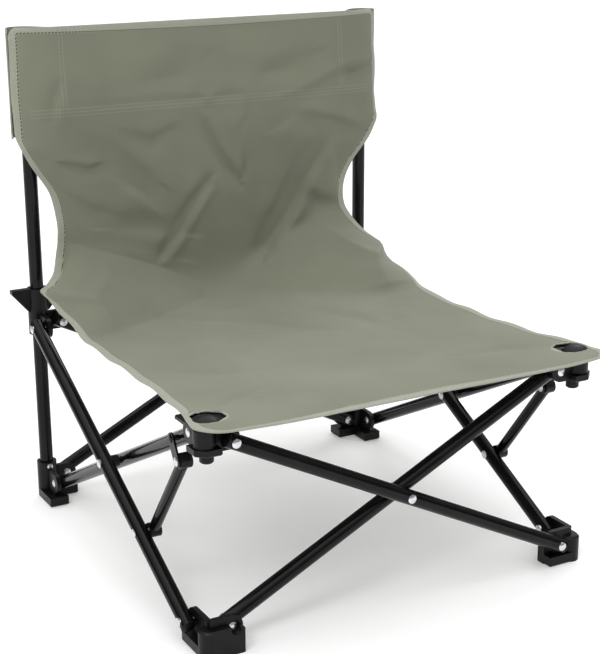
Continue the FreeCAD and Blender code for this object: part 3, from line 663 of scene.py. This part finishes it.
CREASE_ROW = BACK_ROWS + 5
SPLIT_ROW = CREASE_ROW + REAR_ROWS
NOSE_ROW = SPLIT_ROW + MIDDLE_ROWS
BACK_BUNCH = {"anchor": (-0.212, 0, 0), "keep": 0.052}
SEAT_BUNCH = {"anchor": (-0.214, 0, 0), "keep": 0.061}
POCKET_BUNCH = {"anchor": (0, 0, 0.642), "keep": 0.45, "axis": (0, 0, 1)}


class CAMPCHAIR_OT_back(bpy.types.Operator):
    """Make the back of the sling, between the post pockets and down to the crease"""
    bl_idname = "camp_chair.back"
    bl_label = "Back canvas"

    def execute(self, context):
        outer, inner, uv, marks, z = sling_shell()
        keep = face_mask(*outer.shape[:2], 0, CREASE_ROW)
        x = cell(np.abs(outer[..., 0]))
        keep &= ~((x > POCKET_INNER) & (cell(z) > POCKET_FLOOR))
        piece = shell_mesh("canvas_back", outer, inner, keep, uv, marks)
        finish_sheet(piece, "left_post", ["back_panel"], (0.54, 0.42), 0.165, **BACK_BUNCH)
        return {"FINISHED"}


class CAMPCHAIR_OT_pockets(bpy.types.Operator):
    """Make the two post pockets: the sling's own front layer and a rear layer round the post"""
    bl_idname = "camp_chair.pockets"
    bl_label = "Post pockets"

    def execute(self, context):
        outer, inner, uv, marks, z = sling_shell()
        for hand, side in ((-1, "left"), (1, "right")):
            keep = face_mask(*outer.shape[:2], 0, CREASE_ROW)
            keep &= (cell(outer[..., 0]) * hand > POCKET_INNER) & (cell(z) > POCKET_FLOOR)
            front = shell_mesh("pocket_front_" + side, outer, inner, keep, uv, marks)
            body = side + "_post"
            finish_sheet(front, body, ["back_sleeve_" + side], (0.06, 0.16), 0.0092,
                         **POCKET_BUNCH)
            face = pocket_back(hand, (POCKET_TOP, POCKET_FLOOR + 3))
            normal = normals_of(face)
            if hand > 0:
                normal = -normal
            rows, cols = face.shape[:2]
            spread = np.broadcast_to(np.linspace(0, POCKET_WIDTH, cols), (rows, cols))
            down = np.broadcast_to(np.linspace(0, POCKET_DROP, rows)[:, None], (rows, cols))
            border = {"edge_mm": np.minimum(down, POCKET_DROP - down) + 3,
                      "seam_mm": down + 20, "side_mm": spread}
            grid = np.dstack([spread, down])
            sides = (face + normal * 0.5, face - normal * 0.5)
            all_faces = np.ones((rows - 1, cols - 1), bool)
            first, second = sides[::-hand]
            rear = shell_mesh("pocket_rear_" + side, first, second, all_faces, grid, border)
            finish_sheet(rear, body, [], (0.09, 0.145), 0.0116, **POCKET_BUNCH)
        return {"FINISHED"}


class CAMPCHAIR_OT_seat(bpy.types.Operator):
    """Make the seat's rear and middle panels"""
    bl_idname = "camp_chair.seat"
    bl_label = "Seat canvas"

    def execute(self, context):
        outer, inner, uv, marks, _ = sling_shell()
        shape = outer.shape[:2]
        keep = face_mask(*shape, CREASE_ROW, SPLIT_ROW)
        rear = shell_mesh("canvas_seat_rear", outer, inner, keep, uv, marks)
        finish_sheet(rear, "seat_rear", ["seat_rear"], (0.52, 0.12), 0.040, **SEAT_BUNCH)
        keep = face_mask(*shape, SPLIT_ROW, NOSE_ROW)
        front = shell_mesh("canvas_seat_front", outer, inner, keep, uv, marks)
        finish_sheet(front, "seat_front", ["seat_front"], (0.54, 0.38), 0.183, **SEAT_BUNCH)
        return {"FINISHED"}


def pierced(grid, hand):
    """Open an oval hole over a hub's cap: points near the middle of the hole move out from it,
    so that the ring at the bore's radius becomes the rim and the ring at the reach stays put."""
    dx, dy = grid[..., 0] - hand * HOLE_AT[0], grid[..., 1] - HOLE_AT[1]
    r = np.maximum(np.hypot(dx / 1.1, dy), 1e-6)
    opened = (HOLE_RADIUS + np.maximum(r - HOLE_BORE, 0) * (HOLE_REACH - HOLE_RADIUS)
              / (HOLE_REACH - HOLE_BORE))
    new = np.where(r < HOLE_REACH, opened, r)
    moved = grid.copy()
    moved[..., 0] += dx * (new / r - 1)
    moved[..., 1] += dy * (new / r - 1)
    return moved, r


class CAMPCHAIR_OT_nose(bpy.types.Operator):
    """Make the seat's front strip and its two corners, each with a hole for the hub's cap"""
    bl_idname = "camp_chair.nose"
    bl_label = "Front strip and corners"

    def execute(self, context):
        outer, inner, uv, marks, _ = sling_shell()
        shape = outer.shape[:2]
        strip = face_mask(*shape, NOSE_ROW, shape[0] - 1)
        x = cell(outer[..., 0])
        between = strip & (np.abs(x) < PATCH_INNER)
        middle = shell_mesh("canvas_nose", outer, inner, between, uv, marks)
        finish_sheet(middle, "hub_front_left", ["seat_nose"], (0.44, 0.08), 0.0322, **SEAT_BUNCH)
        for hand, side in ((-1, "left"), (1, "right")):
            top, r = pierced(outer, hand)
            low, _ = pierced(inner, hand)
            keep = strip & (x * hand > PATCH_INNER) & (cell(r) > HOLE_BORE)
            rim = dict(marks, edge_mm=np.minimum(marks["edge_mm"], (r - HOLE_BORE) * 0.6 + 4.0))
            corner = shell_mesh("canvas_corner_" + side, top, low, keep, uv, rim)
            finish_sheet(corner, "hub_front_" + side, [], (0.058, 0.08), 0.0029)
            washer = ring_mesh("corner_washer_" + side, washer_loops(hand))
            washer.data.materials.append(find_or_make(plastic_material))
            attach(washer, "hub_front_" + side)
        return {"FINISHED"}


class CAMPCHAIR_OT_frame(bpy.types.Operator):
    """Give the tubes, mouldings and rivets their finishes"""
    bl_idname = "camp_chair.frame"
    bl_label = "Frame finishes"

    def execute(self, context):
        for name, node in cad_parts.items():
            maker = [m for start, m in FRAME_FINISH.items() if name.startswith(start)]
            if not maker:
                continue
            made = find_or_make(maker[0])
            if not node.material_slots:
                node.data.materials.append(made)
            for slot in node.material_slots:
                slot.material = made
        return {"FINISHED"}


def sky_dome():
    """White dome, brightest overhead: a small level plus the square of the direction's height."""
    world = bpy.data.worlds.new("studio")
    world.use_nodes = True
    nodes, links = world.node_tree.nodes, world.node_tree.links
    split = nodes.new("ShaderNodeSeparateXYZ")
    links.new(nodes.new("ShaderNodeTexCoord").outputs["Generated"], split.inputs[0])
    height = maths(nodes, links, "MAXIMUM", split.outputs[2], 0.0)
    square = maths(nodes, links, "MULTIPLY", height, height)
    links.new(maths(nodes, links, "MULTIPLY_ADD", square, 2.15, 0.1), nodes["Background"].inputs[1])
    nodes["Background"].inputs[0].default_value = (1, 1, 1, 1)
    return world


FLOOR_HALF = 60
LIGHT_TARGET = (0, 0, 0.3)
CAMERA_PLACE = (-0.8789, -1.5910, 0.8277)
CAMERA_YAW, CAMERA_PITCH, CAMERA_ROLL = 29.0, -16.88, -0.27


def area_light(name, place, target, size, power):
    data = bpy.data.lights.new(name, "AREA")
    data.shape = "RECTANGLE"
    data.size, data.size_y = size
    data.energy = power
    lamp = bpy.data.objects.new(name, data)
    bpy.context.scene.collection.objects.link(lamp)
    lamp.location = place
    lamp.rotation_euler = (Vector(target) - Vector(place)).to_track_quat("-Z", "Y").to_euler()


class CAMPCHAIR_OT_stage(bpy.types.Operator):
    """Make the floor, the lights and the camera"""
    bl_idname = "camp_chair.stage"
    bl_label = "Studio"

    def execute(self, context):
        floor_mesh = bpy.data.meshes.new("studio_floor")
        signs = ((-1, -1), (1, -1), (1, 1), (-1, 1))
        corners = [(FLOOR_HALF * x, FLOOR_HALF * y, 0) for x, y in signs]
        floor_mesh.from_pydata(corners, [], [(0, 1, 2, 3)])
        floor = bpy.data.objects.new("studio_floor", floor_mesh)
        floor.data.materials.append(find_or_make(floor_material))
        context.scene.collection.objects.link(floor)
        context.scene.world = sky_dome()
        context.scene.view_settings.view_transform = "Standard"
        area_light("key", (-1.9, -1.5, 2.3), LIGHT_TARGET, (0.9, 0.9), 22.0)
        area_light("rim", (1.8, 1.4, 1.9), LIGHT_TARGET, (1.2, 0.8), 9.0)
        data = bpy.data.cameras.new("view")
        data.sensor_fit = "VERTICAL"
        data.sensor_height = 36.0
        data.lens = 82.6
        data.clip_end = 50.0
        camera = bpy.data.objects.new("view", data)
        context.scene.collection.objects.link(camera)
        yaw, pitch, roll = map(math.radians, (CAMERA_YAW, CAMERA_PITCH, CAMERA_ROLL))
        forward = Vector((math.sin(yaw) * math.cos(pitch), math.cos(yaw) * math.cos(pitch),
                          math.sin(pitch)))
        turn = forward.to_track_quat("-Z", "Y").to_matrix().to_4x4()
        camera.matrix_world = (Matrix.Translation(Vector(CAMERA_PLACE)) @ turn
                               @ Matrix.Rotation(roll, 4, "Z"))
        context.scene.camera = camera
        return {"FINISHED"}


class CAMPCHAIR_PT_panel(bpy.types.Panel):
    """The chair's settings and pieces"""
    bl_idname = "CAMPCHAIR_PT_panel"
    bl_label = "Camp Chair"
    bl_space_type = "VIEW_3D"
    bl_region_type = "UI"
    bl_category = "Camp Chair"

    def draw(self, context):
        for name in ChairSettings.__annotations__:
            self.layout.prop(context.scene.camp_chair, name)
        for operator in OPERATORS:
            self.layout.operator(operator.bl_idname)


OPERATORS = (CAMPCHAIR_OT_stage, CAMPCHAIR_OT_frame, CAMPCHAIR_OT_back, CAMPCHAIR_OT_pockets,
             CAMPCHAIR_OT_seat, CAMPCHAIR_OT_nose)
CLASSES = (ChairSettings, *OPERATORS, CAMPCHAIR_PT_panel)


def register():
    for each in CLASSES:
        bpy.utils.register_class(each)
    bpy.types.Scene.camp_chair = PointerProperty(type=ChairSettings)


def unregister():
    del bpy.types.Scene.camp_chair
    for each in reversed(CLASSES):
        bpy.utils.unregister_class(each)


def main():
    register()
    bpy.ops.camp_chair.stage()
    bpy.ops.camp_chair.frame()
    bpy.ops.camp_chair.back()
    bpy.ops.camp_chair.pockets()
    bpy.ops.camp_chair.seat()
    bpy.ops.camp_chair.nose()


if __name__ == "__main__":
    main()
